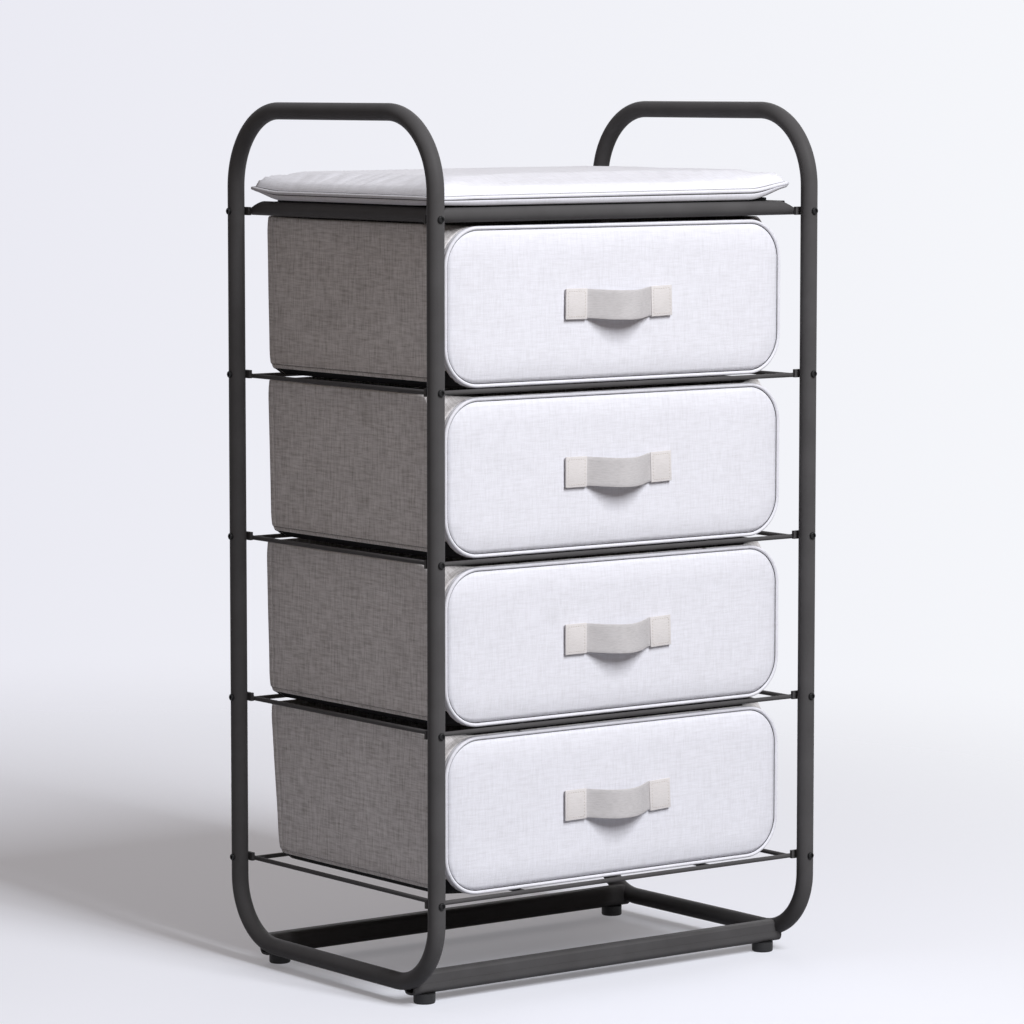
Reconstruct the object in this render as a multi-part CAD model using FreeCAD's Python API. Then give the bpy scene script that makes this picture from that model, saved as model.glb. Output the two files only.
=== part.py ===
import FreeCAD, Part
import math
import os

Vector = FreeCAD.Vector

# Driving dimensions in mm: the two end loops of round tube
tube_od = 19.0
tube_wall = 1.2
post_spacing_x = 518.0
post_spacing_y = 378.0
loop_height = 935.0
top_bend = 85.0
bottom_bend = 72.0
floor_gap = 14.0

# Feet under the ends of the base rails
foot_od = 24.0
foot_edge = 2.0
foot_from_post = 20.0
foot_stem_od = 8.0
foot_stem_length = 6.0
foot_stem_clearance = 0.05

# Levels of the screws, evenly spaced between the bottom and the top of the loop
lowest_level = 93.0
top_level_drop = 112.0
shelf_count = 4

# Screws
screw_od = 6.0
screw_clearance = 0.2
screw_head_od = 7.6
screw_head_height = 2.2
screw_head_edge = 1.0
screw_head_sink = 2.0
screw_tip = 2.0
socket_across = 4.0
socket_depth = 1.3
socket_sides = 6

# Welded lugs behind the front posts and inside the rear posts
lug_wall = 2.6
lug_seat = 1.2
lug_inward = 12.0
lug_outward = 7.0
lug_half_height = 4.6

# Shelf frames of round rod
rod_od = 5.0
rod_drop = 2.0
rod_end_gap = 5.0
rear_rod_inset = 11.0
runner_spacing = 260.0
weld_sink = 0.4

# Top frame of tube with flattened ends
rail_od = 16.0
rail_wall = 1.0
rail_rise = 3.4
rail_tab = 6.0
rail_flat = 3.0
rail_slope = 19.0
rail_plug = 16.0
rear_rail_inset = 46.0
vent_od = 4.0

# Base rails with a ledge along the outer face
base_height = 24.0
base_depth = 20.0
base_corner = 7.0
base_wall = 2.5
base_from_post = 50.0
base_drop = 0.5
ledge_depth = 1.2
ledge_drop = 0.5

# Board under the cushion, laid on the rails
board_overhang = 1.7
board_wall = 3.0
board_corner = 55.0

# Cushion
cushion_width = 490.0
cushion_depth = 358.0
cushion_height = 33.0
cushion_corner = 16.0
cushion_inset_shares = (0.05, 0.0, 0.0, 0.14, 0.36, 0.62)
cushion_height_shares = (0.0, 0.2, 0.42, 0.72, 0.93, 1.0)

# Drawers
drawer_width = 468.0
drawer_headroom = 9.5
drawer_depth = 342.0
drawer_recess = 16.0
drawer_corner = 45.0
shell_corner = 5.0
shell_top_corner = 6.0
shell_rise = 5.5
shell_shoulder = 25.0
bottom_flat = 300.0
fabric_wall = 3.0
front_pad = 10.0
front_edge = 3.5
insert_wall = 3.0
insert_edge_gap = 3.0
soft_clearance = 0.3

# Strap handles
strap_length = 146.0
strap_height = 32.0
strap_wall = 2.5
strap_end = 29.0
strap_bow = 17.0

# How far a cutting body runs past the surface it cuts
overrun = 5.0

quarter_turn = 90.0
eighth_turn = 45.0
left_and_right = (("left", -1), ("right", 1))
x_axis = Vector(1, 0, 0)
y_axis = Vector(0, 1, 0)
z_axis = Vector(0, 0, 1)

tube_radius = tube_od / 2
rod_radius = rod_od / 2
rail_radius = rail_od / 2
side_x = post_spacing_x / 2
front_y = (screw_head_height - post_spacing_y) / 2
rear_y = front_y + post_spacing_y
loop_bottom = floor_gap + tube_radius
loop_top = loop_bottom + loop_height
level_pitch = (loop_height - lowest_level - top_level_drop) / shelf_count
levels = [loop_bottom + lowest_level + level_pitch * step for step in range(shelf_count + 1)]
drawer_height = level_pitch - drawer_headroom
top_level = levels[-1]
shelf_levels = levels[:-1]
top_rail_z = top_level + rail_rise
top_front_y = front_y + tube_radius + lug_wall + rail_radius - weld_sink
top_rear_y = rear_y - rear_rail_inset
top_side_x = side_x - tube_radius - lug_wall - rail_radius + weld_sink
bar_end_x = side_x - rod_end_gap
bar_end_y = rear_y - rod_end_gap
base_z = loop_bottom - base_drop
board_z = top_rail_z + rail_radius
cushion_middle_y = (front_y + rear_y) / 2
face_y = front_y + drawer_recess
shell_front_y = face_y + front_pad + soft_clearance
shell_rear_y = face_y + drawer_depth
shoulder_y = shell_front_y + shell_shoulder


def save(name, shape):
    shape.exportStep("parts/" + name + ".step")


def block(low, high):
    size = high - low
    return Part.makeBox(size.x, size.y, size.z, low)


def rod(start, end, radius):
    way = end - start
    return Part.makeCylinder(radius, way.Length, start, way)


def join(shapes):
    return shapes[0].multiFuse(shapes[1:]).removeSplitter()


def disc(centre, normal, radius):
    return Part.Face(Part.Wire(Part.makeCircle(radius, centre, normal)))


def turned(y, z, radius, degrees):
    angle = math.radians(degrees)
    return y + radius * math.cos(angle), z + radius * math.sin(angle)


def outline(corners, place):
    # Each corner is centre, centre, radius and starting angle, in order round the outline
    ends = []
    edges = []
    for first, second, radius, start in corners:
        points = [place(*turned(first, second, radius, start + turn))
                  for turn in (0, eighth_turn, quarter_turn)]
        ends.append((points[0], points[-1]))
        if radius > 0:
            edges.append([Part.Arc(*points).toShape()])
        else:
            edges.append([])
    wire = []
    for index, corner_edges in enumerate(edges):
        wire += corner_edges
        leave = ends[index][1]
        arrive = ends[(index + 1) % len(ends)][0]
        wire.append(Part.makeLine(leave, arrive))
    return Part.Wire(wire)


def upright_outline(half_width, low, high, low_radius, high_radius, y):
    corners = (
        (half_width - high_radius, high - high_radius, high_radius, 0),
        (high_radius - half_width, high - high_radius, high_radius, quarter_turn),
        (low_radius - half_width, low + low_radius, low_radius, 2 * quarter_turn),
        (half_width - low_radius, low + low_radius, low_radius, 3 * quarter_turn),
    )
    return outline(corners, lambda x, z: Vector(x, y, z))


def level_outline(half_width, half_depth, radius, middle_y, z):
    corners = (
        (half_width - radius, half_depth - radius, radius, 0),
        (radius - half_width, half_depth - radius, radius, quarter_turn),
        (radius - half_width, radius - half_depth, radius, 2 * quarter_turn),
        (half_width - radius, radius - half_depth, radius, 3 * quarter_turn),
    )
    return outline(corners, lambda x, y: Vector(x, middle_y + y, z))


def section_outline(half_depth, half_height, radius, x, y, z):
    corners = (
        (half_depth - radius, half_height - radius, radius, 0),
        (radius - half_depth, half_height - radius, radius, quarter_turn),
        (radius - half_depth, radius - half_height, radius, 2 * quarter_turn),
        (half_depth - radius, radius - half_height, radius, 3 * quarter_turn),
    )
    return outline(corners, lambda across, up: Vector(x, y + across, z + up))


def tube_section(centre, normal, bore_radius):
    section = disc(centre, normal, tube_radius)
    if bore_radius > 0:
        section = section.cut(disc(centre, normal, bore_radius)).Faces[0]
    return section


def loop_runs(x, bore_radius):
    # The four tubes of one end loop: a bow at the top, one at the bottom, and two posts between
    corners = (
        (rear_y - top_bend, loop_top - top_bend, top_bend, 0),
        (front_y + top_bend, loop_top - top_bend, top_bend, quarter_turn),
        (front_y + bottom_bend, loop_bottom + bottom_bend, bottom_bend, 2 * quarter_turn),
        (rear_y - bottom_bend, loop_bottom + bottom_bend, bottom_bend, 3 * quarter_turn),
    )
    bends = []
    bars = []
    for index, (y, z, bend, start) in enumerate(corners):
        begin = Vector(x, *turned(y, z, bend, start))
        along = Vector(0, *turned(0, 0, 1, start + quarter_turn))
        leave = Vector(x, *turned(y, z, bend, start + quarter_turn))
        next_y, next_z, next_bend, next_start = corners[(index + 1) % len(corners)]
        arrive = Vector(x, *turned(next_y, next_z, next_bend, next_start))
        bend_section = tube_section(begin, along, bore_radius)
        bar_section = tube_section(leave, arrive - leave, bore_radius)
        bends.append(bend_section.revolve(Vector(x, y, z), x_axis, quarter_turn))
        bars.append(bar_section.extrude(arrive - leave))
    top_bar, front_bar, bottom_bar, rear_bar = bars
    return {
        "top_bow": join([top_bar] + bends[:2]),
        "bottom_bow": join([bottom_bar] + bends[2:]),
        "front_post": front_bar,
        "rear_post": rear_bar,
    }


loop_skins = {side: join(list(loop_runs(sign * side_x, 0).values())) for side, sign in left_and_right}


def front_hole(x, level, radius):
    return rod(Vector(x, front_y - tube_radius - overrun, level),
               Vector(x, front_y + tube_radius + lug_wall + overrun, level), radius)


def rear_hole(sign, level, radius):
    return rod(Vector(sign * (side_x + tube_radius + overrun), rear_y, level),
               Vector(sign * (side_x - tube_radius - lug_wall - overrun), rear_y, level), radius)


def foot_hole(sign, y):
    x = sign * (side_x - foot_from_post)
    return rod(Vector(x, y, 0), Vector(x, y, base_z), foot_stem_od / 2 + foot_stem_clearance)


def make_loop(sign):
    x = sign * side_x
    tubes = loop_runs(x, tube_radius - tube_wall)
    hole_radius = screw_od / 2 + screw_clearance
    for level in levels:
        tubes["front_post"] = tubes["front_post"].cut(front_hole(x, level, hole_radius))
        tubes["rear_post"] = tubes["rear_post"].cut(rear_hole(sign, level, hole_radius))
    return tubes


def make_foot(sign, y):
    x = sign * (side_x - foot_from_post)
    seat = base_z - base_height / 2
    foot = rod(Vector(x, y, 0), Vector(x, y, seat), foot_od / 2)
    foot = foot.makeFillet(foot_edge, [edge for edge in foot.Edges if edge.BoundBox.ZMax < foot_edge])
    stem = rod(Vector(x, y, foot_edge), Vector(x, y, seat + foot_stem_length), foot_stem_od / 2)
    return join([foot, stem])


def socket(reach):
    radius = socket_across / 2 / math.cos(math.pi / socket_sides)
    turn = 4 * quarter_turn / socket_sides
    points = [Vector(*turned(0, 0, radius, turn * side), 0) for side in range(socket_sides + 1)]
    return Part.Face(Part.makePolygon(points)).extrude(z_axis * reach)


def make_screw(side, head_at, inward):
    # Built up the Z axis with its head at the bottom, then turned to point into the post
    head = rod(Vector(0, 0, -screw_head_height), Vector(0, 0, screw_head_sink), screw_head_od / 2)
    rim = [edge for edge in head.Edges if edge.BoundBox.ZMax < 0]
    head = head.makeFillet(screw_head_edge, rim)
    recess = socket(socket_depth + overrun)
    recess.translate(Vector(0, 0, -screw_head_height - overrun))
    turn = FreeCAD.Placement(head_at, FreeCAD.Rotation(z_axis, inward))
    head = head.cut(recess)
    head.transformShape(turn.toMatrix())
    head = head.cut(loop_skins[side])
    head = min(head.Solids, key=lambda solid: (solid.CenterOfMass - head_at).dot(inward))
    shank_start = head_at - inward * (screw_head_height - socket_depth)
    shank_end = head_at + inward * (tube_od + lug_wall + screw_tip)
    return join([head, rod(shank_start, shank_end, screw_od / 2)])


def front_lug(sign, level):
    face = front_y + tube_radius
    inner = sign * (side_x - lug_inward)
    outer = sign * (side_x + lug_outward)
    plate = block(Vector(min(inner, outer), face - lug_seat, level - lug_half_height),
                  Vector(max(inner, outer), face + lug_wall, level + lug_half_height))
    return plate.cut(front_hole(sign * side_x, level, screw_od / 2 + screw_clearance))


def rear_lug(sign, level):
    near = sign * (side_x - tube_radius + lug_seat)
    far = sign * (side_x - tube_radius - lug_wall)
    plate = block(Vector(min(near, far), rear_y - lug_inward, level - lug_half_height),
                  Vector(max(near, far), rear_y + lug_outward, level + lug_half_height))
    return plate.cut(rear_hole(sign, level, screw_od / 2 + screw_clearance))


def lugs(level):
    return [make(sign, level).cut(loop_skins[side]) for side, sign in left_and_right
            for make in (front_lug, rear_lug)]


def make_shelf(level):
    z = level - rod_drop
    front_rod_y = front_y + tube_radius + lug_wall + rod_radius - weld_sink
    rear_rod_y = rear_y - rear_rod_inset
    rod_x = side_x - tube_radius - lug_wall - rod_radius + weld_sink
    pieces = lugs(level)
    for x, y in ((bar_end_x, front_rod_y), (rod_x, rear_rod_y)):
        pieces.append(rod(Vector(-x, y, z), Vector(x, y, z), rod_radius))
    for side, sign in left_and_right:
        for x, end_y in ((rod_x, bar_end_y), (runner_spacing / 2, rear_rod_y)):
            pieces.append(rod(Vector(sign * x, front_rod_y, z), Vector(sign * x, end_y, z), rod_radius))
    return join(pieces)


def slope_cutter(end, along):
    # Wedge that takes the top off a rail end, leaving a flat tab level with its underside
    tab_top = rail_tab - rail_radius
    back = end - along * (rail_flat + rail_slope)
    points = [
        back + z_axis * rail_radius,
        end - along * rail_flat + z_axis * tab_top,
        end + along * overrun + z_axis * tab_top,
        end + along * overrun + z_axis * (rail_radius + overrun),
        back + z_axis * (rail_radius + overrun),
    ]
    across = along.cross(z_axis)
    face = Part.Face(Part.makePolygon(points + points[:1]))
    face.translate(across * -rail_od)
    return face.extrude(across * 2 * rail_od)


def front_bar_ends():
    return Vector(-bar_end_x, top_front_y, top_rail_z), Vector(bar_end_x, top_front_y, top_rail_z)


def side_bar_ends(sign):
    x = sign * top_side_x
    return Vector(x, top_front_y, top_rail_z), Vector(x, bar_end_y, top_rail_z)


def hollow_out(bar, start, end):
    # Bore between the plugged ends, with a vent hole under the middle
    middle = (start + end) / 2
    vent = rod(middle, middle - z_axis * (rail_radius + overrun), vent_od / 2)
    return bar.cut(rod(start, end, rail_radius - rail_wall)).cut(vent)


def make_top_front():
    start, end = front_bar_ends()
    plug = x_axis * (rail_flat + rail_slope + rail_plug)
    bar = rod(start, end, rail_radius)
    for place, along in ((start, -x_axis), (end, x_axis)):
        bar = bar.cut(slope_cutter(place, along))
    plates = [front_lug(sign, top_level).cut(loop_skins[side]) for side, sign in left_and_right]
    return hollow_out(join([bar] + plates), start + plug, end - plug)


def make_top_side(side, sign):
    start, end = side_bar_ends(sign)
    bar = rod(start, end, rail_radius).cut(slope_cutter(end, y_axis))
    bar = bar.cut(rod(*front_bar_ends(), rail_radius))
    plate = rear_lug(sign, top_level).cut(loop_skins[side])
    near_plug = y_axis * (rail_radius + rail_plug)
    far_plug = y_axis * (rail_flat + rail_slope + rail_plug)
    return hollow_out(join([bar, plate]), start + near_plug, end - far_plug)


def make_top_rear():
    start = Vector(-top_side_x, top_rear_y, top_rail_z)
    end = Vector(top_side_x, top_rear_y, top_rail_z)
    bar = rod(start, end, rail_radius)
    for side, sign in left_and_right:
        bar = bar.cut(rod(*side_bar_ends(sign), rail_radius))
    plug = x_axis * (rail_radius + rail_plug)
    return hollow_out(bar, start + plug, end - plug)


def base_rail_y(facing):
    return (front_y if facing < 0 else rear_y) - facing * base_from_post


def make_base_rail(facing):
    y = base_rail_y(facing)
    half_depth = base_depth / 2
    half_height = base_height / 2
    outside = Part.Face(section_outline(half_depth, half_height, base_corner, -side_x, y, base_z))
    inside = Part.Face(section_outline(half_depth - base_wall, half_height - base_wall,
                                       base_corner - base_wall, -side_x, y, base_z))
    outer_y = y + facing * half_depth
    ledge_z = base_z - ledge_drop
    ledge_points = [
        Vector(-side_x, outer_y + facing * overrun, ledge_z),
        Vector(-side_x, outer_y - facing * ledge_depth, ledge_z),
        Vector(-side_x, outer_y - facing * ledge_depth, ledge_z + base_height),
        Vector(-side_x, outer_y + facing * overrun, ledge_z + base_height),
    ]
    ledge = Part.Face(Part.makePolygon(ledge_points + ledge_points[:1]))
    body = outside.cut(inside).cut(ledge).extrude(x_axis * post_spacing_x)
    for side, sign in left_and_right:
        body = body.cut(loop_skins[side]).cut(foot_hole(sign, y))
    return max(body.Solids, key=lambda solid: solid.Volume)


def make_board():
    half_width = top_side_x + board_overhang
    half_depth = cushion_middle_y - top_front_y + board_overhang
    wire = level_outline(half_width, half_depth, board_corner, cushion_middle_y, board_z)
    return Part.Face(wire).extrude(z_axis * board_wall)


def make_cushion():
    low = board_z + board_wall + soft_clearance
    sections = []
    for inset_share, height_share in zip(cushion_inset_shares, cushion_height_shares):
        inset = inset_share * cushion_depth / 2
        z = low + height_share * cushion_height
        sections.append(level_outline(cushion_width / 2 - inset, cushion_depth / 2 - inset,
                                      cushion_corner, cushion_middle_y, z))
    return Part.makeLoft(sections, True, True)


def make_front(low):
    high = low + drawer_height
    wire = upright_outline(drawer_width / 2, low, high, drawer_corner, drawer_corner, face_y)
    panel = Part.Face(wire).extrude(y_axis * front_pad)
    rim = [edge for edge in panel.Edges if edge.BoundBox.YMax < face_y + front_edge]
    return panel.makeFillet(front_edge, rim)


def tub_outline(inset, low, high, low_corner, high_corner, rise, y):
    # Upright section of a drawer: flat over the runners, then rising to rounded lower edges
    half_width = drawer_width / 2 - inset
    low_radius = low_corner - inset
    high_radius = high_corner - inset

    def at(x, z):
        return Vector(x, y, z)

    edges = [Part.makeLine(at(half_width - high_radius, high), at(high_radius - half_width, high))]
    for sign in (-1, 1):
        high_bend = [at(*turned(sign * (half_width - high_radius), high - high_radius, high_radius,
                                quarter_turn - sign * turn)) for turn in (0, eighth_turn, quarter_turn)]
        low_bend = [at(*turned(sign * (half_width - low_radius), low + rise + low_radius, low_radius,
                               3 * quarter_turn + sign * turn)) for turn in (quarter_turn, eighth_turn, 0)]
        edges.append(Part.Arc(*high_bend).toShape())
        edges.append(Part.makeLine(high_bend[-1], low_bend[0]))
        edges.append(Part.Arc(*low_bend).toShape())
        edges.append(Part.makeLine(low_bend[-1], at(sign * bottom_flat / 2, low)))
    edges.append(Part.makeLine(at(-bottom_flat / 2, low), at(bottom_flat / 2, low)))
    return Part.Wire(Part.__sortEdges__(edges))


def tub(inset, low, high, begin, end):
    # Rounded like the padded front where it meets it, and squarer from the shoulder on
    sections = [tub_outline(inset, low, high, drawer_corner, drawer_corner, 0, begin)]
    for y in (shoulder_y, end):
        sections.append(tub_outline(inset, low, high, shell_corner, shell_top_corner, shell_rise, y))
    return Part.makeLoft(sections, True, True)


def make_shell(low):
    high = low + drawer_height
    begin = shell_front_y + fabric_wall
    end = shell_rear_y - fabric_wall
    outside = tub(0, low, high, shell_front_y, shell_rear_y)
    inside = tub(fabric_wall, low + fabric_wall, high - fabric_wall, begin, end)
    narrow = drawer_width / 2 - drawer_corner
    wide = drawer_width / 2 - fabric_wall
    half_rim = ((narrow, begin), (wide, shoulder_y), (wide, end))
    points = [Vector(x, y, high - shell_top_corner) for x, y in half_rim]
    points += [Vector(-x, y, high - shell_top_corner) for x, y in reversed(half_rim)]
    mouth = Part.Face(Part.makePolygon(points + points[:1])).extrude(z_axis * (shell_top_corner + overrun))
    return outside.cut(inside).cut(mouth)


def make_insert(low):
    z = low + fabric_wall + soft_clearance
    half_width = bottom_flat / 2 - insert_edge_gap
    begin = shell_front_y + fabric_wall + insert_edge_gap
    end = shell_rear_y - fabric_wall - insert_edge_gap
    return block(Vector(-half_width, begin, z), Vector(half_width, end, z + insert_wall))


def make_strap(low):
    back = face_y - soft_clearance
    front = back - strap_wall
    half = strap_length / 2
    bend = half - strap_end
    z = low + (drawer_height - strap_height) / 2

    def at(x, y):
        return Vector(x, y, z)

    edges = [
        Part.makeLine(at(-half, front), at(-half, back)),
        Part.makeLine(at(-half, back), at(-bend, back)),
        Part.Arc(at(-bend, back), at(0, back - strap_bow), at(bend, back)).toShape(),
        Part.makeLine(at(bend, back), at(half, back)),
        Part.makeLine(at(half, back), at(half, front)),
        Part.makeLine(at(half, front), at(bend, front)),
        Part.Arc(at(bend, front), at(0, front - strap_bow), at(-bend, front)).toShape(),
        Part.makeLine(at(-bend, front), at(-half, front)),
    ]
    return Part.Face(Part.Wire(edges)).extrude(z_axis * strap_height)


os.makedirs("parts", exist_ok=True)

# Loops and screws, and the feet under the base rails
for side, sign in left_and_right:
    for name, tube in make_loop(sign).items():
        save(side + "_" + name, tube)
    for place, facing in (("front", -1), ("rear", 1)):
        save("foot_" + place + "_" + side, make_foot(sign, base_rail_y(facing)))
    for number, level in enumerate(reversed(levels)):
        tag = side + "_" + str(number)
        front_head = Vector(sign * side_x, front_y - tube_radius, level)
        rear_head = Vector(sign * (side_x + tube_radius), rear_y, level)
        save("screw_front_" + tag, make_screw(side, front_head, y_axis))
        save("screw_rear_" + tag, make_screw(side, rear_head, x_axis * -sign))

# Frames between the loops
save("top_rail_front", make_top_front())
save("top_rail_rear", make_top_rear())
for side, sign in left_and_right:
    save("top_rail_" + side, make_top_side(side, sign))
save("base_rail_front", make_base_rail(-1))
save("base_rail_rear", make_base_rail(1))

# Board and cushion on the top frame
save("top_board", make_board())
save("cushion", make_cushion())

# Shelf frames with a drawer on each, numbered from the top
for number, level in enumerate(reversed(shelf_levels), start=1):
    save("shelf_frame_" + str(number), make_shelf(level))
    low = level - rod_drop + rod_radius + soft_clearance
    name = "drawer_" + str(number)
    save(name + "_front", make_front(low))
    save(name + "_shell", make_shell(low))
    save(name + "_insert", make_insert(low))
    save(name + "_strap", make_strap(low))
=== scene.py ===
import bpy
import bmesh
import math
from mathutils import Matrix, Vector, noise


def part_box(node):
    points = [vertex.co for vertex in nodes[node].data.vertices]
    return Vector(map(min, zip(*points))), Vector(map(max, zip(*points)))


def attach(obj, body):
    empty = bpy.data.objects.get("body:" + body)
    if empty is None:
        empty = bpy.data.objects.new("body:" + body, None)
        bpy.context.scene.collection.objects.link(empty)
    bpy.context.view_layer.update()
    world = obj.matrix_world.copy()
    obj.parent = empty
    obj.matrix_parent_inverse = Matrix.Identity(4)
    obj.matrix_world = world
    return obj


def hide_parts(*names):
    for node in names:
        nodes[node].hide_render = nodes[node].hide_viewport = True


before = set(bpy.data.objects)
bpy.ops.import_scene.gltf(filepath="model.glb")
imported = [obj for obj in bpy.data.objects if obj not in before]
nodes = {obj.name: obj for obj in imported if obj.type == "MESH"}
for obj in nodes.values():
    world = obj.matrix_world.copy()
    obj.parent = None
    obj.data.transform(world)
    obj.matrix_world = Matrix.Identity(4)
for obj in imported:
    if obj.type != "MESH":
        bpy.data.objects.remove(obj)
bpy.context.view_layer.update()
scene = bpy.context.scene
mm = 0.001


# camera, at the photograph's height and angle
camera = {
    "place": (-3.0083, -3.9562, 0.9907),
    "down": 5.547,
    "turn": 37.101,
    "lens": 155.86,
    "sensor": 36,
    "farEnd": 60,
}
lens = bpy.data.cameras.new("camera")
lens.lens = camera["lens"]
lens.sensor_width = camera["sensor"]
lens.clip_end = camera["farEnd"]
viewer = bpy.data.objects.new("camera", lens)
viewer.location = camera["place"]
viewer.rotation_euler = (math.radians(90 - camera["down"]), 0, -math.radians(camera["turn"]))
scene.collection.objects.link(viewer)
scene.camera = viewer
scene.view_settings.view_transform = "Standard"
print("camera set")


class Wire:
    # one output socket of a node tree, on which sums and products add Math nodes
    def __init__(self, tree, socket=None):
        self.tree = tree
        self.socket = socket

    def add(self, kind, settings, sockets, out=0):
        node = self.tree.nodes.new("ShaderNode" + kind)
        for name, value in settings.items():
            setattr(node, name, value)
        for name, value in sockets.items():
            if isinstance(value, Wire):
                self.tree.links.new(value.socket, node.inputs[name])
            else:
                node.inputs[name].default_value = value
        return Wire(self.tree, node.outputs[out] if node.outputs else None)

    def other(self, out):
        return Wire(self.tree, self.socket.node.outputs[out])

    def maths(self, operation, first, second):
        return self.add("Math", {"operation": operation}, {0: first, 1: second})

    def __add__(self, value):
        return self.maths("ADD", self, value)

    def __radd__(self, value):
        return self.maths("ADD", value, self)

    def __sub__(self, value):
        return self.maths("SUBTRACT", self, value)

    def __rsub__(self, value):
        return self.maths("SUBTRACT", value, self)

    def __mul__(self, value):
        return self.maths("MULTIPLY", self, value)

    def __rmul__(self, value):
        return self.maths("MULTIPLY", value, self)

    def stretched(self, x, y, z=0.0):
        return self.add("VectorMath", {"operation": "MULTIPLY"}, {0: self, 1: (x, y, z)})

    def noise(self, scale, detail=2.0, rough=0.5):
        return self.add("TexNoise", {},
                        {"Vector": self, "Scale": scale, "Detail": detail, "Roughness": rough})

    def ramp(self, low, high, easing="LINEAR"):
        return self.add("MapRange", {"interpolation_type": easing},
                        {"Value": self, "From Min": low, "From Max": high})

    def blend(self, first, second):
        return self.add("Mix", {"data_type": "RGBA"}, {0: self, 6: first, 7: second}, 2)

    def bump(self, strength, depth):
        return self.add("Bump", {}, {"Strength": strength, "Distance": depth, "Height": self})

    def crossed(self, pitch):
        # threads that pass over and under each other, one wave to each pitch
        turn = 2 * math.pi / pitch
        across = self.add("SeparateXYZ", {}, {"Vector": self.stretched(turn, turn)})
        upward = across.other("Y")
        return across.maths("SINE", across, 0.0) * upward.maths("SINE", upward, 0.0)


def startFinish(name):
    material = bpy.data.materials.new(name)
    material.use_nodes = True
    material.node_tree.nodes.clear()
    return material, Wire(material.node_tree)


def endFinish(material, wire, colour, rough, normal, constants):
    sockets = {"Base Color": colour, "Roughness": rough, "Normal": normal}
    sockets.update(constants)
    shader = wire.add("BsdfPrincipled", {}, sockets)
    wire.add("OutputMaterial", {}, {"Surface": shader})
    return material


# how the linen is woven, as waves to the metre along and across each thread
weaveLook = {
    "slubAcross": (38, 330), "slubUpward": (340, 34), "slubRange": (0.40, 0.76),
    "fineAcross": (70, 1250), "fineUpward": (1250, 80), "fineRange": (0.4, 0.7),
    "cloudScale": 14.0, "cloudRange": (0.35, 0.7), "cloudShare": 0.08,
    "pitch": 1.1 * mm,
    "crossHeight": 0.35, "fineHeight": 0.5, "slubHeight": 0.6,
    "bump": 0.28, "depth": 0.35 * mm,
    "rough": 0.82, "roughSpread": 0.08,
    "specular": 0.18, "sheen": 0.12, "sheenRough": 0.5,
}
linenLook = {
    "light": (0.81, 0.818, 0.88, 1),
    "dark": (0.62, 0.62, 0.655, 1),
    "slub": 0.24,
    "thread": 0.20,
}
# the same cloth on the bags, a shaded copy whose slubs are painted stronger, as the weave shows more on the
# shaded sides than on the lit fronts
shadedBagLinenLook = {
    "light": (0.91, 0.89, 0.90, 1),
    "dark": (0.38, 0.36, 0.35, 1),
    "slub": 0.36,
    "thread": 0.24,
}


def linenFinish(name, look):
    cloth = weaveLook
    material, wire = startFinish(name)
    weave = wire.add("UVMap", {"uv_map": "weave"}, {})
    across = weave.stretched(*cloth["slubAcross"]).noise(1.0).ramp(*cloth["slubRange"])
    upward = weave.stretched(*cloth["slubUpward"]).noise(1.0).ramp(*cloth["slubRange"])
    fineAcross = weave.stretched(*cloth["fineAcross"]).noise(1.0, 1.0).ramp(*cloth["fineRange"])
    fineUpward = weave.stretched(*cloth["fineUpward"]).noise(1.0, 1.0).ramp(*cloth["fineRange"])
    cloud = weave.noise(cloth["cloudScale"], 3.0).ramp(*cloth["cloudRange"])
    shade = (across + upward) * look["slub"] + (fineAcross + fineUpward) * look["thread"]
    shade = shade + cloud * cloth["cloudShare"]
    height = weave.crossed(cloth["pitch"]) * cloth["crossHeight"]
    height = height + fineAcross * cloth["fineHeight"] + fineUpward * cloth["fineHeight"]
    height = height + (across + upward) * cloth["slubHeight"]
    rough = shade * cloth["roughSpread"] + cloth["rough"]
    return endFinish(material, wire, shade.blend(look["light"], look["dark"]), rough,
                     height.bump(cloth["bump"], cloth["depth"]),
                     {"Specular IOR Level": cloth["specular"], "Sheen Weight": cloth["sheen"],
                      "Sheen Roughness": cloth["sheenRough"]})


# how the strap's ribbed webbing is woven
ribLook = {
    "yarn": (160, 900), "yarnRange": (0.4, 0.72), "yarnShare": 0.3,
    "mottleScale": 55.0, "mottleRange": (0.45, 0.8), "mottleShare": 0.22,
    "ribShare": 0.06,
    "ribHeight": 0.5, "yarnHeight": 0.6,
    "bump": 0.35, "depth": 0.4 * mm,
    "rough": 0.8, "roughSpread": 0.1,
    "specular": 0.2, "sheen": 0.15,
}
# the band is darker than its patches of the same webbing: painted shade for the bowed band turning away from
# the light
webbingLook = {
    "light": (0.57, 0.555, 0.56, 1),
    "dark": (0.34, 0.33, 0.33, 1),
    "rib": 1.5 * mm,
}
patchLook = {
    "light": (0.71, 0.685, 0.68, 1),
    "dark": (0.54, 0.515, 0.505, 1),
    "rib": 1.1 * mm,
}


def webbingFinish(name, look):
    strip = ribLook
    material, wire = startFinish(name)
    weave = wire.add("UVMap", {"uv_map": "weave"}, {})
    ribs = weave.crossed(look["rib"])
    yarn = weave.stretched(*strip["yarn"]).noise(1.0).ramp(*strip["yarnRange"])
    mottle = weave.noise(strip["mottleScale"], 3.0).ramp(*strip["mottleRange"])
    shade = yarn * strip["yarnShare"] + mottle * strip["mottleShare"] + ribs * strip["ribShare"]
    height = ribs * strip["ribHeight"] + yarn * strip["yarnHeight"]
    rough = yarn * strip["roughSpread"] + strip["rough"]
    return endFinish(material, wire, shade.blend(look["light"], look["dark"]), rough,
                     height.bump(strip["bump"], strip["depth"]),
                     {"Specular IOR Level": strip["specular"], "Sheen Weight": strip["sheen"]})


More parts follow.
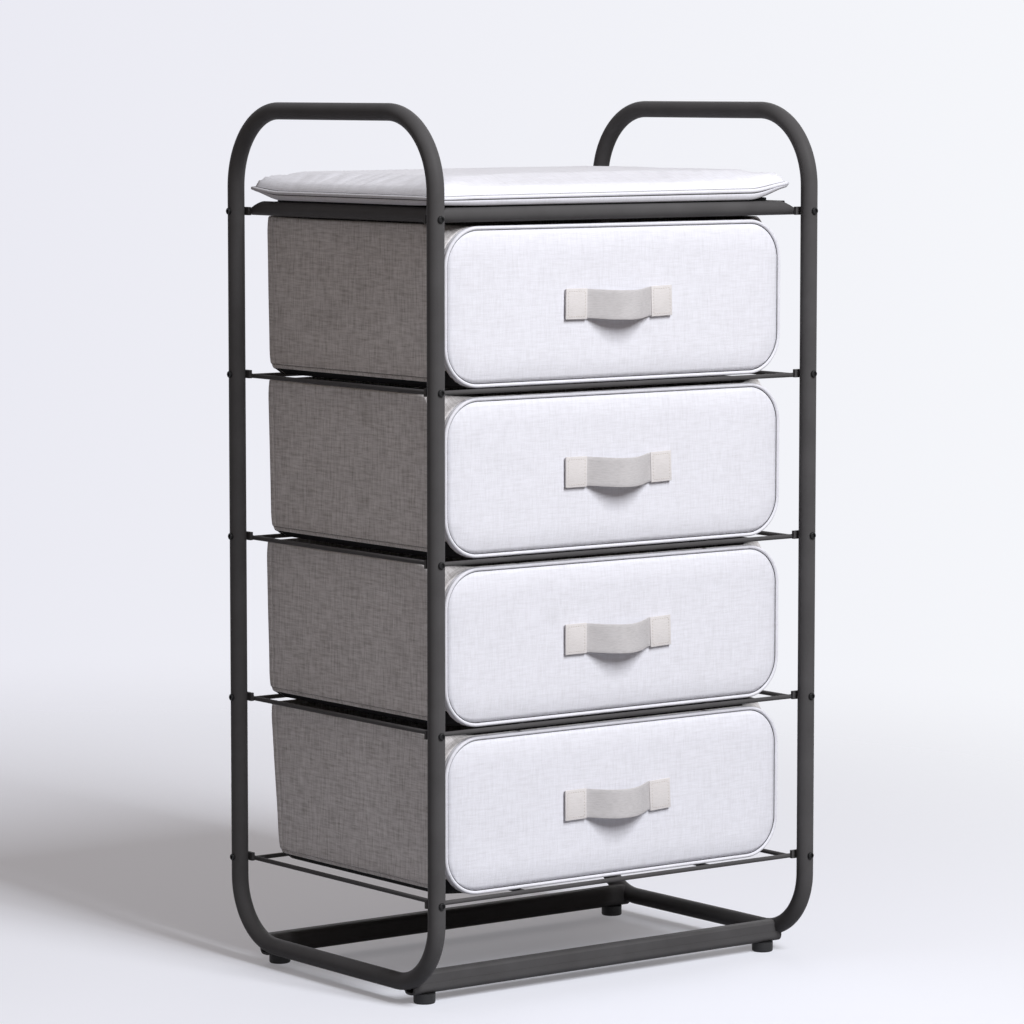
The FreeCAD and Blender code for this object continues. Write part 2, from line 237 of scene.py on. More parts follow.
# plain finishes: two close tones, a fine grain and a little bump
coatLooks = {
    "charcoalCoat": {"light": (0.090, 0.088, 0.090, 1), "dark": (0.068, 0.066, 0.067, 1),
                     "rough": 0.5, "grain": 1500.0, "depth": 0.12 * mm, "specular": 0.04},
    "blackScrewSteel": {"light": (0.014, 0.014, 0.015, 1), "dark": (0.008, 0.008, 0.008, 1),
                        "rough": 0.4, "grain": 900.0, "depth": 0.05 * mm, "specular": 0.2},
    "footPlastic": {"light": (0.024, 0.024, 0.025, 1), "dark": (0.016, 0.016, 0.017, 1),
                    "rough": 0.6, "grain": 700.0, "depth": 0.1 * mm, "specular": 0.3},
    # near black: the board's own dark tone, darkened further as painted shade for the gap under the cushion
    "darkBoardGapShade": {"light": (0.014, 0.014, 0.014, 1), "dark": (0.007, 0.007, 0.007, 1),
                  "rough": 0.8, "grain": 400.0, "depth": 0.15 * mm, "specular": 0.06},
    # painted shade: near-black cloth on the bags' downward faces, standing in for the shade under each drawer
    "paintedShadeCloth": {"light": (0.014, 0.0135, 0.014, 1), "dark": (0.008, 0.0075, 0.008, 1),
                  "rough": 0.9, "grain": 900.0, "depth": 0.2 * mm, "specular": 0.06},
    "liningBoard": {"light": (0.58, 0.57, 0.58, 1), "dark": (0.47, 0.46, 0.47, 1),
                    "rough": 0.85, "grain": 600.0, "depth": 0.25 * mm, "specular": 0.15},
    # painted shade: dark grey standing in for the shadow in the seam grooves beside the cords
    "seamShade": {"light": (0.10, 0.10, 0.108, 1), "dark": (0.065, 0.065, 0.07, 1),
                  "rough": 0.85, "grain": 900.0, "depth": 0.1 * mm, "specular": 0.06},
    "stitchThread": {"light": (0.70, 0.66, 0.62, 1), "dark": (0.52, 0.48, 0.44, 1),
                     "rough": 0.8, "grain": 2500.0, "depth": 0.1 * mm, "specular": 0.2},
}
grainLook = {
    "speckRough": 0.6, "speckShare": 0.4,
    "cloudScale": 26.0, "cloudShare": 0.6,
    "toneRange": (0.3, 0.7), "roughSpread": 0.14, "bump": 0.2,
}


def coatFinish(name):
    look, grain = coatLooks[name], grainLook
    material, wire = startFinish(name)
    spot = wire.add("TexCoord", {}, {}, "Object")
    speck = spot.noise(look["grain"], 2.0, grain["speckRough"])
    cloud = spot.noise(grain["cloudScale"], 3.0)
    tone = (cloud * grain["cloudShare"] + speck * grain["speckShare"]).ramp(*grain["toneRange"])
    rough = cloud * grain["roughSpread"] + look["rough"] - grain["roughSpread"] / 2
    return endFinish(material, wire, tone.blend(look["dark"], look["light"]), rough,
                     speck.bump(grain["bump"], look["depth"]), {"Specular IOR Level": look["specular"]})


linen = linenFinish("linen", linenLook)
shadedBagLinen = linenFinish("shadedBagLinen", shadedBagLinenLook)
webbing = webbingFinish("webbing", webbingLook)
patch = webbingFinish("patchWebbing", patchLook)
coat = coatFinish("charcoalCoat")
blackSteel = coatFinish("blackScrewSteel")
footPlastic = coatFinish("footPlastic")
darkBoardGapShade = coatFinish("darkBoardGapShade")
paintedShadeCloth = coatFinish("paintedShadeCloth")
liningBoard = coatFinish("liningBoard")
seamShade = coatFinish("seamShade")
thread = coatFinish("stitchThread")
print("finishes made")


# every carried-over part gets its finish
for name, node in nodes.items():
    finish = coat
    if name.startswith("screw"):
        finish = blackSteel
    elif name.startswith("foot"):
        finish = footPlastic
    elif name == "top_board":
        finish = darkBoardGapShade
    elif name.endswith("_insert"):
        finish = liningBoard
    for index in range(max(1, len(node.material_slots))):
        if index < len(node.material_slots):
            node.material_slots[index].material = finish
        else:
            node.data.materials.append(finish)


def rimAt(x, y, plan):
    # how far inside the rounded outline a point lies, and the way out from there
    overX = abs(x) - plan["halfWide"] + plan["corner"]
    overY = abs(y) - plan["halfTall"] + plan["corner"]
    if overX > 0 and overY > 0:
        reach = math.hypot(overX, overY)
        out = Vector((overX / reach, overY / reach, 0))
    elif overX > overY:
        reach, out = overX, Vector((1, 0, 0))
    else:
        reach, out = overY, Vector((0, 1, 0))
    return plan["corner"] - reach, Vector((math.copysign(out.x, x), math.copysign(out.y, y), 0))


def inset(plan, step):
    return {name: plan[name] - step for name in ("halfWide", "halfTall", "corner")}


def roundedSheet(bm, plan, cell):
    # flat grid whose corners are drawn in to the outline's radius
    columns = round(2 * plan["halfWide"] / cell)
    rows = round(2 * plan["halfTall"] / cell)
    verts = bmesh.ops.create_grid(bm, x_segments=columns, y_segments=rows, size=1.0)["verts"]
    span = max(vert.co.x for vert in verts)
    bmesh.ops.scale(bm, vec=(plan["halfWide"] / span, plan["halfTall"] / span, 1), verts=verts)
    flatX = plan["halfWide"] - plan["corner"]
    flatY = plan["halfTall"] - plan["corner"]
    for vert in verts:
        a = (abs(vert.co.x) - flatX) / plan["corner"]
        b = (abs(vert.co.y) - flatY) / plan["corner"]
        if a > 0 and b > 0:
            vert.co.x = math.copysign(flatX + plan["corner"] * a * math.sqrt(1 - b * b / 2), vert.co.x)
            vert.co.y = math.copysign(flatY + plan["corner"] * b * math.sqrt(1 - a * a / 2), vert.co.y)
    return verts


def openRim(bm):
    return [edge for edge in bm.edges if edge.is_boundary]


def carryRim(bm, edges, plan):
    # runs an open rim on through the plan's steps of inset from the outline and height
    for depth, height in plan["rim"]:
        made = bmesh.ops.extrude_edge_only(bm, edges=edges)["geom"]
        fresh = {item for item in made if isinstance(item, bmesh.types.BMVert)}
        edges = [item for item in made if isinstance(item, bmesh.types.BMEdge) and set(item.verts) <= fresh]
        for vert in fresh:
            inside, out = rimAt(vert.co.x, vert.co.y, plan)
            vert.co += out * (inside - depth * mm)
            vert.co.z = height * mm
    return edges


def markSeam(bm, plan):
    # the stitched groove beside a cord takes the second finish, painted shade: dark grey linen standing in
    # for the groove's shadow
    for face in bm.faces:
        spot = face.calc_center_median()
        inside = rimAt(spot.x, spot.y, plan)[0]
        for near, far, low, high in plan["groove"]:
            if near * mm < inside < far * mm and low * mm < spot.z < high * mm:
                face.material_index = 1


tallShift = 0.7    # the weave's shift upward, as a share of its shift across


def layWeave(bm, shift):
    # each face takes its weave from the side that it faces, in metres
    layer = bm.loops.layers.uv.verify()
    bm.normal_update()
    for face in bm.faces:
        facing = max(range(3), key=lambda axis: abs(face.normal[axis]))
        wide, tall = ((1, 2), (0, 2), (0, 1))[facing]
        for loop in face.loops:
            loop[layer].uv = (loop.vert.co[wide] + shift, loop.vert.co[tall] + shift * tallShift)


def standUp(bm, place):
    # a piece made lying flat is stood up to face the front
    turn = Matrix.Rotation(math.pi / 2, 4, "X")
    bmesh.ops.transform(bm, matrix=Matrix.Translation(place) @ turn, verts=bm.verts)


def makePiece(bm, name, body, finishes):
    mesh = bpy.data.meshes.new(name)
    bm.to_mesh(mesh)
    bm.free()
    for layer in mesh.uv_layers:
        layer.name = "weave"
    for finish in finishes:
        mesh.materials.append(finish)
    mesh.shade_smooth()
    piece = bpy.data.objects.new(name, mesh)
    scene.collection.objects.link(piece)
    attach(piece, body)
    return piece


frontLook = {
    "halfWide": 234 * mm, "halfTall": 86.5 * mm, "corner": 45 * mm,
    "seam": 5.0 * mm,           # the panel starts this far inside the edge
    "roll": 30 * mm,            # width of the rounded shoulder
    "drop": 4.0 * mm,           # how far the shoulder falls to the seam
    "rollPower": 2.3,
    "ripple": 0.35 * mm, "rippleScale": (11, 15), "rippleStep": 3.7,
    "cell": 5 * mm,
    # inset and height of the seam, the cord and the back edge, in millimetres
    "rim": ((5.1, -5.6), (5.0, -7.4), (4.7, -7.4), (4.6, -5.4), (4.3, -3.6), (3.5, -2.4), (2.4, -2.0),
            (1.3, -2.3), (0.5, -3.2), (0.2, -4.4), (0.5, -5.6), (1.0, -6.2), (0.6, -7.0), (0.5, -8.6),
            (1.2, -9.6), (3.0, -9.9)),
    "groove": ((4.2, 5.3, -8.0, -4.45),),     # least and most inset, least and most height
    "weaveStep": 0.37,
}


def drawerFront(number):
    look = frontLook
    bm = bmesh.new()
    for vert in roundedSheet(bm, inset(look, look["seam"]), look["cell"]):
        inside = rimAt(vert.co.x, vert.co.y, look)[0]
        rise = min(1.0, max(0.0, (inside - look["seam"]) / look["roll"]))
        x, y = vert.co.x * look["rippleScale"][0], vert.co.y * look["rippleScale"][1]
        ripple = noise.noise(Vector((x, y, number * look["rippleStep"])))
        vert.co.z = -look["drop"] * (1 - rise) ** look["rollPower"] - look["ripple"] * (1 + ripple) * rise
    last = carryRim(bm, openRim(bm), look)
    bmesh.ops.contextual_create(bm, geom=last)
    markSeam(bm, look)
    bmesh.ops.recalc_face_normals(bm, faces=bm.faces)
    low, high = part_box("drawer_%d_front" % number)
    standUp(bm, (0, low.y, (low.z + high.z) / 2))
    layWeave(bm, number * look["weaveStep"])
    piece = makePiece(bm, "drawerFront%d" % number, "drawer_%d" % number, [linen, seamShade])
    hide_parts("drawer_%d_front" % number)


shellLook = {
    "halfWide": 234 * mm, "tall": 172.6 * mm,
    "rimRise": 2.4 * mm, "rise": 5.4 * mm,       # behind the shoulder the rim and the lower edge are higher
    "rearRise": 1.4 * mm, "rearRiseRun": (4, 3),
    "front": -161.4 * mm, "rear": 170 * mm, "shoulder": 25 * mm, "rimShoulder": 34 * mm,
    "frontCorner": 45 * mm, "lowCorner": 3 * mm, "highCorner": 2.5 * mm,
    "upturn": 7 * mm,            # the floor turns up to the lower edge over this width
    "tuck": 1.6 * mm,            # the lower edge is drawn under by this
    "wall": 2.2 * mm,
    "merge": 0.05 * mm,
    "sag": 2.5 * mm, "sagPower": 1.5,
    "slack": 0.4 * mm, "slackScale": (9, 13, 4), "slackStep": 5.3,
    "hollow": 0.6 * mm, "hollowScale": (8, 12), "hollowStep": 2.9,
    "footRun": 3,                # the foot ends at one third of the height
    "seam": ((0.9, 1.3), (1.9, 1.0), (2.4, 1.5), (3.0, 0.1)),     # groove above the lower edge
    "seamTop": 4 * mm,
    "reach": (0.5, 0, 5, -2.5),  # each drawer's own reach to the rear, top drawer first
    "lean": (5, 6, 6, 17),       # how far the rear corners lean in at the foot
    "leanRun": (2.2, 1.2),
    "boardHalf": 156 * mm, "boardFade": 70 * mm,     # the floor board keeps the middle of the back straight
    # the rear corners are drawn in at the foot and, less, at the rim
    "drawn": 6 * mm, "drawnLow": 28 * mm, "drawnHigh": 22 * mm, "drawnHighShare": 0.5,
    "cell": 5.2 * mm, "wallRows": 18, "shoulderRows": 8, "wallStart": 0.02,
    "floorPoints": 16, "upturnPoints": 6, "cornerPoints": 8, "sidePoints": 24,
    # the rear edge, as steps from the back wall and how far each is drawn in, in millimetres
    "tail": ((-13.4, 0.0), (-12.8, 0.9), (-12.2, 0.1), (-8, 0.0),
             (-4, 0.4), (-1.7, 1.5), (-0.4, 3.2), (0, 5.0)),
    "shadeFacing": -0.5,          # faces that point further down than this take painted shade: near-black cloth standing in for the shade under the bag
    "weaveStep": 0.53,
}


def spread(begin, end, count):
    return [begin + (end - begin) * step / count for step in range(count)]


def eased(share):
    share = min(1.0, max(0.0, share))
    return share * share * (3 - 2 * share)


def shellHalf(look, low, behind):
    # half of a drawer's cross-section, from the middle of the floor up to the rim
    ease = eased(behind / look["shoulder"])
    rimEase = eased(behind / look["rimShoulder"])
    lowCorner = look["frontCorner"] + (look["lowCorner"] - look["frontCorner"]) * ease
    highCorner = look["frontCorner"] + (look["highCorner"] - look["frontCorner"]) * rimEase
    edge = low + look["rise"] * ease
    wide, top = look["halfWide"], low + look["tall"] + look["rimRise"] * ease
    turnX = wide - look["tuck"] * ease - lowCorner
    flat = turnX - look["upturn"]
    upturn = spread(0, 1, look["upturnPoints"])
    quarter = spread(0, math.pi / 2, look["cornerPoints"])
    points = [(x, low) for x in spread(0, flat, look["floorPoints"])]
    points += [(flat + look["upturn"] * step, low + (edge - low) * step) for step in upturn]
    points += [(turnX + lowCorner * math.sin(turn), edge + lowCorner * (1 - math.cos(turn)))
               for turn in quarter]
    points += [(wide - inward * mm * ease, edge + lowCorner + up * mm) for up, inward in look["seam"]]
    sideLow = edge + lowCorner + look["seamTop"]
    points += [(wide, z) for z in spread(sideLow, top - highCorner, look["sidePoints"])]
    points += [(wide - highCorner * (1 - math.cos(turn)), top - highCorner + highCorner * math.sin(turn))
               for turn in quarter]
    return points + [(wide - highCorner, top)]


def shellRows(look, rear):
    # where each cross-section stands, how far it is drawn in and its scale, front wall first
    tail = [(rear + back * mm, step * mm, 1.0) for back, step in look["tail"]]
    bend = look["front"] + look["shoulder"]
    bodyRows = round((tail[0][0] - bend) / look["cell"])
    backScales = spread(look["wallStart"], 1 + look["wallStart"], look["wallRows"])
    rows = [(look["front"], 0.0, scale) for scale in spread(0, 1, look["wallRows"])]
    rows += [(y, 0.0, 1.0) for y in spread(look["front"], bend, look["shoulderRows"])]
    rows += [(y, 0.0, 1.0) for y in spread(bend, tail[0][0], bodyRows)] + tail
    rows += [(rear, tail[-1][1], 1 - scale) for scale in backScales] + [(rear, tail[-1][1], 0.0)]
    return rows


def drawerShell(number):
    # one lofted bag: front wall, body, seam and rounded rear edge, back wall
    look = shellLook
    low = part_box("drawer_%d_shell" % number)[0].z
    lean = look["lean"][number - 1] * mm
    rear = look["rear"] + look["reach"][number - 1] * mm
    rows = shellRows(look, rear)
    halves = [shellHalf(look, low, y - look["front"]) for y, drawnIn, scale in rows]
    columns = len(halves[0]) - 1
    slackY, slackZ, slackX = look["slackScale"]
    hollowX, hollowZ = look["hollowScale"]
    bm = bmesh.new()
    verts = bmesh.ops.create_grid(bm, x_segments=2 * columns, y_segments=len(rows) - 1, size=1.0)["verts"]
    span = max(vert.co.y for vert in verts)
    for vert in verts:
        row = round((vert.co.y / span + 1) / 2 * (len(rows) - 1))
        column = round(vert.co.x / span * columns)
        y, drawnIn, scale = rows[row]
        x, z = halves[row][abs(column)]
        up = (z - low) / look["tall"]
        share = (y - look["front"]) / (rear - look["front"])
        outer = min(1, max(0, x / look["halfWide"] * 2 - 1))
        slack = noise.noise(Vector((y * slackY + number * look["slackStep"], z * slackZ, x * slackX)))
        sag = look["sag"] * math.sin(math.pi * share) * up ** look["sagPower"]
        x -= outer * (sag + look["slack"] * (1 + slack) * min(1, up * look["footRun"]))
        x = (x - drawnIn * outer) * scale
        top = halves[row][-1][1]
        z = top - (top - z - drawnIn * max(0, 1 - up * look["footRun"])) * scale
        up = min(1, (z - low) / look["tall"])
        sideX = math.copysign(x, column)
        hollow = noise.noise(Vector((sideX * hollowX, z * hollowZ, number * look["hollowStep"])))
        rearward = max(0, share * look["leanRun"][0] - look["leanRun"][1])
        loose = rearward * eased((x - look["boardHalf"]) / look["boardFade"])
        corner = max(0, 1 - (z - low) / look["drawnLow"]) ** 2
        corner += look["drawnHighShare"] * max(0, 1 - (top - z) / look["drawnHigh"]) ** 2
        y -= (lean * (1 - up) + look["drawn"] * corner) * loose + look["hollow"] * (1 + hollow) * (1 - scale)
        z += look["rearRise"] * up * max(0, share * look["rearRiseRun"][0] - look["rearRiseRun"][1])
        vert.co = (sideX, y, z)
    bmesh.ops.remove_doubles(bm, verts=bm.verts, dist=look["merge"])
    bmesh.ops.recalc_face_normals(bm, faces=bm.faces)
    layWeave(bm, number * look["weaveStep"])
    # downward faces take the painted shade cloth
    for face in bm.faces:
        face.material_index = 1 if face.normal.z < look["shadeFacing"] else 0
    piece = makePiece(bm, "drawerShell%d" % number, "drawer_%d" % number,
                      [shadedBagLinen, paintedShadeCloth])
    wall = piece.modifiers.new("wall", "SOLIDIFY")
    wall.thickness = look["wall"]
    wall.offset = -1
    wall.material_offset = -1    # the painted shade cloth is outside only
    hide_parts("drawer_%d_shell" % number)


strapLook = {
    "half": 73 * mm, "tall": 32 * mm, "thick": 1.9 * mm,
    "middleX": -2 * mm, "clear": 0.6 * mm,
    "segments": (64, 8), "weaveStep": 0.21,
    "bend": 45 * mm, "bow": 19.5 * mm, "bowPower": 1.35, "bowTilt": 0.06, "droop": 2.2 * mm,
    "wave": 0.5 * mm, "waveScale": (30, 20), "waveStep": 7.1,
    "softAngle": 1.0, "soft": 0.5 * mm,
    "patch": (29 * mm, 33.5 * mm, 1.5 * mm), "patchSoft": 0.55 * mm, "patchOver": 0.6 * mm,
    "patchTurn": 1.2, "patchTurnStep": 0.4,      # each is sewn on a little askew, in degrees
    "stitchPitch": 3.5 * mm, "stitchInset": 3.0 * mm,
    "stitchHalf": (1.2 * mm, 0.42 * mm, 0.35 * mm),
}


def strapPatch(bm, look, place):
    # one sewn-on patch with running stitches round it
    wide, tall, thick = look["patch"]
    verts = bmesh.ops.create_cube(bm, size=1.0)["verts"]
    bmesh.ops.scale(bm, vec=(wide, tall, thick), verts=verts)
    edges = list({edge for vert in verts for edge in vert.link_edges})
    soft = bmesh.ops.bevel(bm, geom=edges, offset=look["patchSoft"], segments=3, profile=0.5,
                           affect="EDGES", material=-1)
    kept = {vert for vert in verts if vert.is_valid}
    verts = list({vert for face in soft["faces"] for vert in face.verts} | kept)
    bmesh.ops.transform(bm, matrix=place, verts=verts)
    for face in {face for vert in verts for face in vert.link_faces}:
        face.material_index = 2
    x, y = wide / 2 - look["stitchInset"], tall / 2 - look["stitchInset"]
    corners = (Vector((-x, -y, 0)), Vector((x, -y, 0)), Vector((x, y, 0)), Vector((-x, y, 0)))
    for index, begin in enumerate(corners):
        way = corners[(index + 1) % 4] - begin
        count = round(way.length / look["stitchPitch"])
        for step in range(count):
            spot = begin + way * ((step + 0.5) / count) + Vector((0, 0, thick / 2))
            stitch = bmesh.ops.create_icosphere(bm, subdivisions=1, radius=1.0)["verts"]
            turn = way.to_track_quat("X", "Z").to_matrix().to_4x4()
            shape = Matrix.Diagonal((*look["stitchHalf"], 1))
            bmesh.ops.transform(bm, matrix=place @ Matrix.Translation(spot) @ turn @ shape, verts=stitch)
            for face in {face for vert in stitch for face in vert.link_faces}:
                face.material_index = 1


def drawerStrap(number):
    look = strapLook
    bm = bmesh.new()
    columns, rows = look["segments"]
    waveX, waveY = look["waveScale"]
    verts = bmesh.ops.create_grid(bm, x_segments=columns, y_segments=rows, size=1.0)["verts"]
    span = max(vert.co.x for vert in verts)
    for vert in verts:
        x, y = vert.co.x / span * look["half"], vert.co.y / span * look["tall"] / 2
        share = max(0.0, 1 - (x / look["bend"]) ** 2)
        lift = share ** look["bowPower"]
        wave = noise.noise(Vector((x * waveX, y * waveY, number * look["waveStep"])))
        out = look["clear"] + look["bow"] * lift * (1 - look["bowTilt"] * y / look["tall"])
        vert.co = (x, y - look["droop"] * lift + look["wave"] * wave * share, out)
    bmesh.ops.solidify(bm, geom=bm.faces[:], thickness=-look["thick"])
    bmesh.ops.recalc_face_normals(bm, faces=bm.faces)
    edges = [edge for edge in bm.edges
             if len(edge.link_faces) == 2 and edge.calc_face_angle() > look["softAngle"]]
    bmesh.ops.bevel(bm, geom=edges, offset=look["soft"], segments=2, profile=0.5, affect="EDGES", material=-1)
    for face in bm.faces:
        face.material_index = 0
    wide, _, thick = look["patch"]
    for side in (-1, 1):
        middleX = side * (look["half"] - wide / 2 + look["patchOver"])
        middle = Matrix.Translation((middleX, 0, look["clear"] + look["thick"] + thick / 2))
        askew = math.radians(look["patchTurn"] * side + number * look["patchTurnStep"])
        strapPatch(bm, look, middle @ Matrix.Rotation(askew, 4, "Z"))
    low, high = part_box("drawer_%d_strap" % number)
    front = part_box("drawer_%d_front" % number)[0].y
    standUp(bm, (look["middleX"], front, (low.z + high.z) / 2))
    layWeave(bm, number * look["weaveStep"])
    piece = makePiece(bm, "drawerStrap%d" % number, "drawer_%d" % number,
                      [webbing, thread, patch])
    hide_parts("drawer_%d_strap" % number)


for number in range(1, 5):
    drawerFront(number)
    drawerShell(number)
    drawerStrap(number)
print("drawers made")


cushionLook = {
    "halfWide": 246.8 * mm, "halfTall": 180.5 * mm, "corner": 11 * mm,
    "middle": (-2.2 * mm, 3.1 * mm),     # it lies a little off centre
    "low": 861.2 * mm,
    "seam": 7.6 * mm,            # height of the piped seam at the middle of a side
    "tilt": 1.2 * mm,            # the seam is lower on the left and higher on the right
    # how much more the seam lifts at each corner, and how much of the lower roll is lost there
    "tips": {(-1, -1): (-0.5, 0.15), (1, -1): (8.0, 0.62), (-1, 1): (4.6, 0.62), (1, 1): (5.0, 0.62)},
    "reach": 60 * mm,            # the lift starts this far from the corner
    "pullIn": 2.5 * mm,          # the sides draw in by this between the corners
    "crown": 16.5 * mm, "shoulder": 7.5 * mm, "swell": 2.2 * mm,
    "wrinkle": 0.6 * mm, "wrinkleScale": 16, "wrinkleStart": 4.2,
    "pucker": 0.4 * mm, "puckerReach": 34 * mm, "puckerScale": (85, 18), "puckerStart": 7.7, "puckerRun": 4,
    "cell": 5 * mm,
    "edge": 4.6 * mm, "edgeRise": 2.4 * mm,        # where the top panel starts
    "under": 13 * mm,            # where the flat underside starts
    # inset and height of the seam, the piping and the lower roll, in millimetres
    "rim": ((4.5, 0.9), (4.2, 0.4), (3.8, 0.8), (3.4, 1.5), (2.6, 2.1), (1.6, 2.1), (0.7, 1.6), (0.15, 0.7),
            (0.0, -0.3), (0.35, -1.3), (1.0, -1.9), (1.6, -2.3), (1.0, -3.0), (0.9, -3.9), (1.2, -5.2),
            (1.9, -6.7), (2.9, -8.2), (4.0, -9.3), (4.8, -9.2), (5.1, -7.6), (7.2, -7.6)),
    "groove": ((3.3, 4.9, 0.3, 1.9), (1.05, 1.8, -2.85, -2.0)),     # above and below the piping
    "belowPiping": -2.2 * mm,
    "free": 14 * mm,             # the panel swells from here inwards
    "pressure": 2.0, "shrink": -0.006, "quality": 5, "lastStep": 20, "cap": 3.5 * mm,
    "weaveShift": 0.11,
}


def cornerShare(x, y, look):
    endX = eased((abs(x) - look["halfWide"] + look["reach"]) / look["reach"])
    endY = eased((abs(y) - look["halfTall"] + look["reach"]) / look["reach"])
    return endX * endY


def pulledIn(x, y, look):
    wide = 1 - look["pullIn"] / look["halfWide"] * (1 - (y / look["halfTall"]) ** 2)
    tall = 1 - look["pullIn"] / look["halfTall"] * (1 - (x / look["halfWide"]) ** 2)
    return x * wide, y * tall


def swell(piece, held, look):
    # cloth under pressure, held along the seam and where it rests
    group = piece.vertex_groups.new(name="held")
    for index, weight in enumerate(held):
        group.add([index], weight, "REPLACE")
    cloth = piece.modifiers.new("swell", "CLOTH")
    cloth.settings.quality = look["quality"]
    cloth.settings.use_pressure = True
    cloth.settings.uniform_pressure_force = look["pressure"]
    cloth.settings.shrink_min = look["shrink"]
    cloth.settings.vertex_group_mass = "held"
    cloth.settings.effector_weights.gravity = 0
    for step in range(1, look["lastStep"] + 1):
        scene.frame_set(step)
    swollen = piece.evaluated_get(bpy.context.evaluated_depsgraph_get())
    moved = [vert.co.copy() for vert in swollen.data.vertices]
    piece.modifiers.remove(cloth)
    piece.vertex_groups.remove(group)
    for vert, place in zip(piece.data.vertices, moved):
        step = place - vert.co
        vert.co += step * min(1.0, look["cap"] / max(step.length, 1e-9))
    scene.frame_set(1)


def ringOf(verts):
    kept = set(verts)
    return list({edge for vert in kept for edge in vert.link_edges
                 if edge.is_boundary and set(edge.verts) <= kept})


def crownPanel(panel, look):
    # the top panel rises from its seam to a nearly level crown
    for vert in panel:
        x, y = vert.co.x, vert.co.y
        inside, out = rimAt(x, y, look)
        share = 1 - math.exp(-max(0.0, inside - look["edge"]) / look["shoulder"])
        scale = look["wrinkleScale"]
        wrinkle = noise.noise(Vector((x * scale, y * scale, look["wrinkleStart"])))
        along = abs(out.y) * x + abs(out.x) * y
        puckerAlong, puckerIn = look["puckerScale"]
        pucker = noise.noise(Vector((along * puckerAlong, inside * puckerIn, look["puckerStart"])))
        gathered = max(0.0, 1 - inside / look["puckerReach"]) * min(1.0, share * look["puckerRun"])
        swollen = (1 - (x / look["halfWide"]) ** 2) * (1 - (y / look["halfTall"]) ** 2)
        vert.co.z = look["edgeRise"] + look["crown"] * share
        vert.co.z += (look["swell"] * swollen + look["wrinkle"] * wrinkle * share
                      + look["pucker"] * pucker * gathered)


def topCushion():
    look = cushionLook
    bm = bmesh.new()
    panel = roundedSheet(bm, inset(look, look["edge"]), look["cell"])
    copied = bmesh.ops.duplicate(bm, geom=bm.verts[:] + bm.edges[:] + bm.faces[:])["geom"]
    underside = [item for item in copied if isinstance(item, bmesh.types.BMVert)]
    crownPanel(panel, look)
    shrink = [(half - look["under"]) / (half - look["edge"]) for half in (look["halfWide"], look["halfTall"])]
    bmesh.ops.scale(bm, vec=(shrink[0], shrink[1], 1), verts=underside)
    bmesh.ops.translate(bm, vec=(0, 0, -look["seam"]), verts=underside)
    last = carryRim(bm, ringOf(panel), look)
    markSeam(bm, look)
    bmesh.ops.bridge_loops(bm, edges=last + ringOf(underside))
    free = set(panel)
    held = []
    for vert in bm.verts:
        x, y, height = vert.co
        inside = rimAt(x, y, look)[0]
        held.append(0.0 if vert in free and inside > look["free"] else 1.0)
        tip = cornerShare(x, y, look)
        lift, thin = look["tips"][(-1 if x < 0 else 1, -1 if y < 0 else 1)]
        lean = look["tilt"] * x / look["halfWide"] * min(1.0, max(0.0, 1 + height / look["seam"]))
        if height < look["belowPiping"]:
            height *= 1 - thin * tip
        else:
            tip *= max(0.0, 1 - inside / look["reach"])
        x, y = pulledIn(x, y, look)
        z = look["low"] + look["seam"] + height + lean + lift * mm * tip
        vert.co = (x + look["middle"][0], y + look["middle"][1], z)
    bmesh.ops.recalc_face_normals(bm, faces=bm.faces)
    layWeave(bm, look["weaveShift"])
    piece = makePiece(bm, "topCushion", "cushion", [linen, seamShade])
    swell(piece, held, look)
    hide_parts("cushion")


topCushion()
print("cushion made")


# floor, light and background
stageLook = {
    "radius": 16.0, "segments": 96,
    "floor": (0.682, 0.704, 0.762, 1),
    "glow": (0.20, 0.197, 0.208, 1),
    "bounce": (0.34, 0.35, 0.38, 1),
    # the floor runs out into the background
    "fadeMiddle": (-0.3, 0.5, 0), "fadeStart": 0.55, "fadeEnd": 2.5,
    "left": (0.82, 0.82, 0.89, 1), "right": (0.92, 0.93, 0.965, 1),
    "across": (0.8, -0.6, 0), "spread": 0.13,
    "shade": (1.0, 0.86, 0.78, 1), "ambient": 0.185,
}


def shownRays(wire):
    # rays that see the pale stage itself, not its light
    path = wire.add("LightPath", {}, {})
    mirrored = path.maths("MAXIMUM", path.other("Is Glossy Ray"), path.other("Is Transmission Ray"))
    return path.maths("MAXIMUM", path, mirrored)


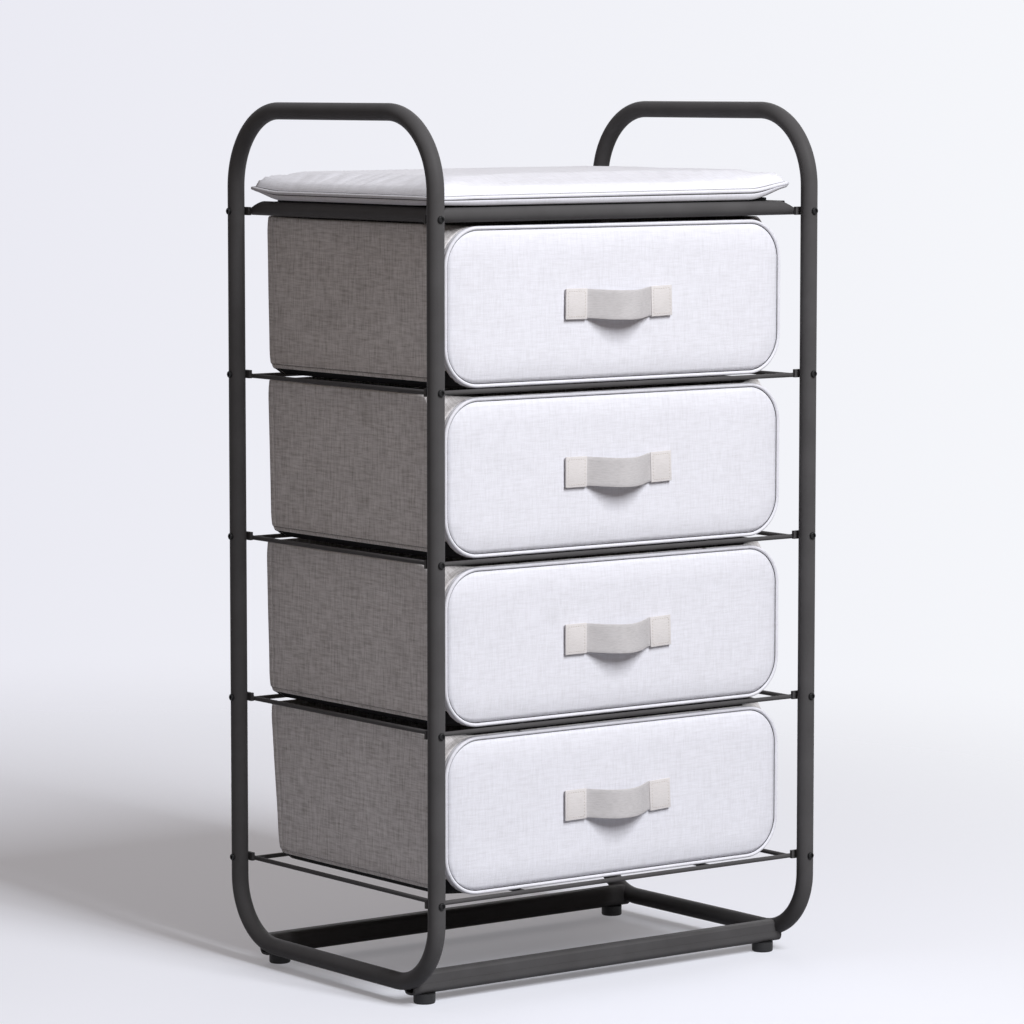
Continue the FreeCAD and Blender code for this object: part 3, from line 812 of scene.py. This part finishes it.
def stageFloor():
    look = stageLook
    bm = bmesh.new()
    bmesh.ops.create_circle(bm, cap_ends=True, segments=look["segments"], radius=look["radius"])
    mesh = bpy.data.meshes.new("floor")
    bm.to_mesh(mesh)
    bm.free()
    floor = bpy.data.objects.new("floor", mesh)
    scene.collection.objects.link(floor)
    material, wire = startFinish("paleFloor")
    spot = wire.add("TexCoord", {}, {}, "Object")
    away = wire.add("VectorMath", {"operation": "DISTANCE"}, {0: spot, 1: look["fadeMiddle"]}, "Value")
    far = away.ramp(look["fadeStart"], look["fadeEnd"], "SMOOTHSTEP")
    seen = shownRays(wire)
    lit = wire.add("BsdfDiffuse", {}, {"Color": look["floor"]})
    glow = wire.add("Emission", {}, {"Color": look["glow"], "Strength": 1.0})
    shown = wire.add("AddShader", {}, {0: lit, 1: glow})
    unseen = wire.add("BsdfDiffuse", {}, {"Color": look["bounce"]})
    clear = wire.add("BsdfTransparent", {}, {})
    base = wire.add("MixShader", {}, {0: seen, 1: unseen, 2: shown})
    whole = wire.add("MixShader", {}, {0: far, 1: base, 2: clear})
    wire.add("OutputMaterial", {}, {"Surface": whole})
    mesh.materials.append(material)


def stageWorld():
    look = stageLook
    world = bpy.data.worlds.new("studio")
    scene.world = world
    world.use_nodes = True
    world.node_tree.nodes.clear()
    wire = Wire(world.node_tree)
    seen = shownRays(wire)
    way = wire.add("TexCoord", {}, {}, "Generated")
    side = wire.add("VectorMath", {"operation": "DOT_PRODUCT"}, {0: way, 1: look["across"]}, "Value")
    tone = side.ramp(-look["spread"], look["spread"]).blend(look["left"], look["right"])
    shown = wire.add("Background", {}, {"Color": tone, "Strength": 1.0})
    unseen = wire.add("Background", {}, {"Color": look["shade"], "Strength": look["ambient"]})
    whole = wire.add("MixShader", {}, {0: seen, 1: unseen, 2: shown})
    wire.add("OutputWorld", {}, {"Surface": whole})


lamps = {
    "key": {"place": (0, -4.62, 4.35), "target": (0, 0, 0.5), "power": 427, "size": (1.4, 3.1),
            "colour": (0.97, 0.975, 1.0)},
    "rear": {"place": (2.6, 2.6, 2.4), "target": (0, 0, 0.5), "power": 16, "size": (2.0, 2.0),
             "colour": (1.0, 0.97, 0.94)},
}


def stageLamps():
    for name, look in lamps.items():
        lamp = bpy.data.lights.new(name, "AREA")
        lamp.energy = look["power"]
        lamp.color = look["colour"]
        lamp.shape = "RECTANGLE"
        lamp.size, lamp.size_y = look["size"]
        holder = bpy.data.objects.new(name, lamp)
        way = Vector(look["target"]) - Vector(look["place"])
        holder.location = look["place"]
        holder.rotation_euler = way.to_track_quat("-Z", "Y").to_euler()
        scene.collection.objects.link(holder)


stageFloor()
stageWorld()
stageLamps()
print("stage set")
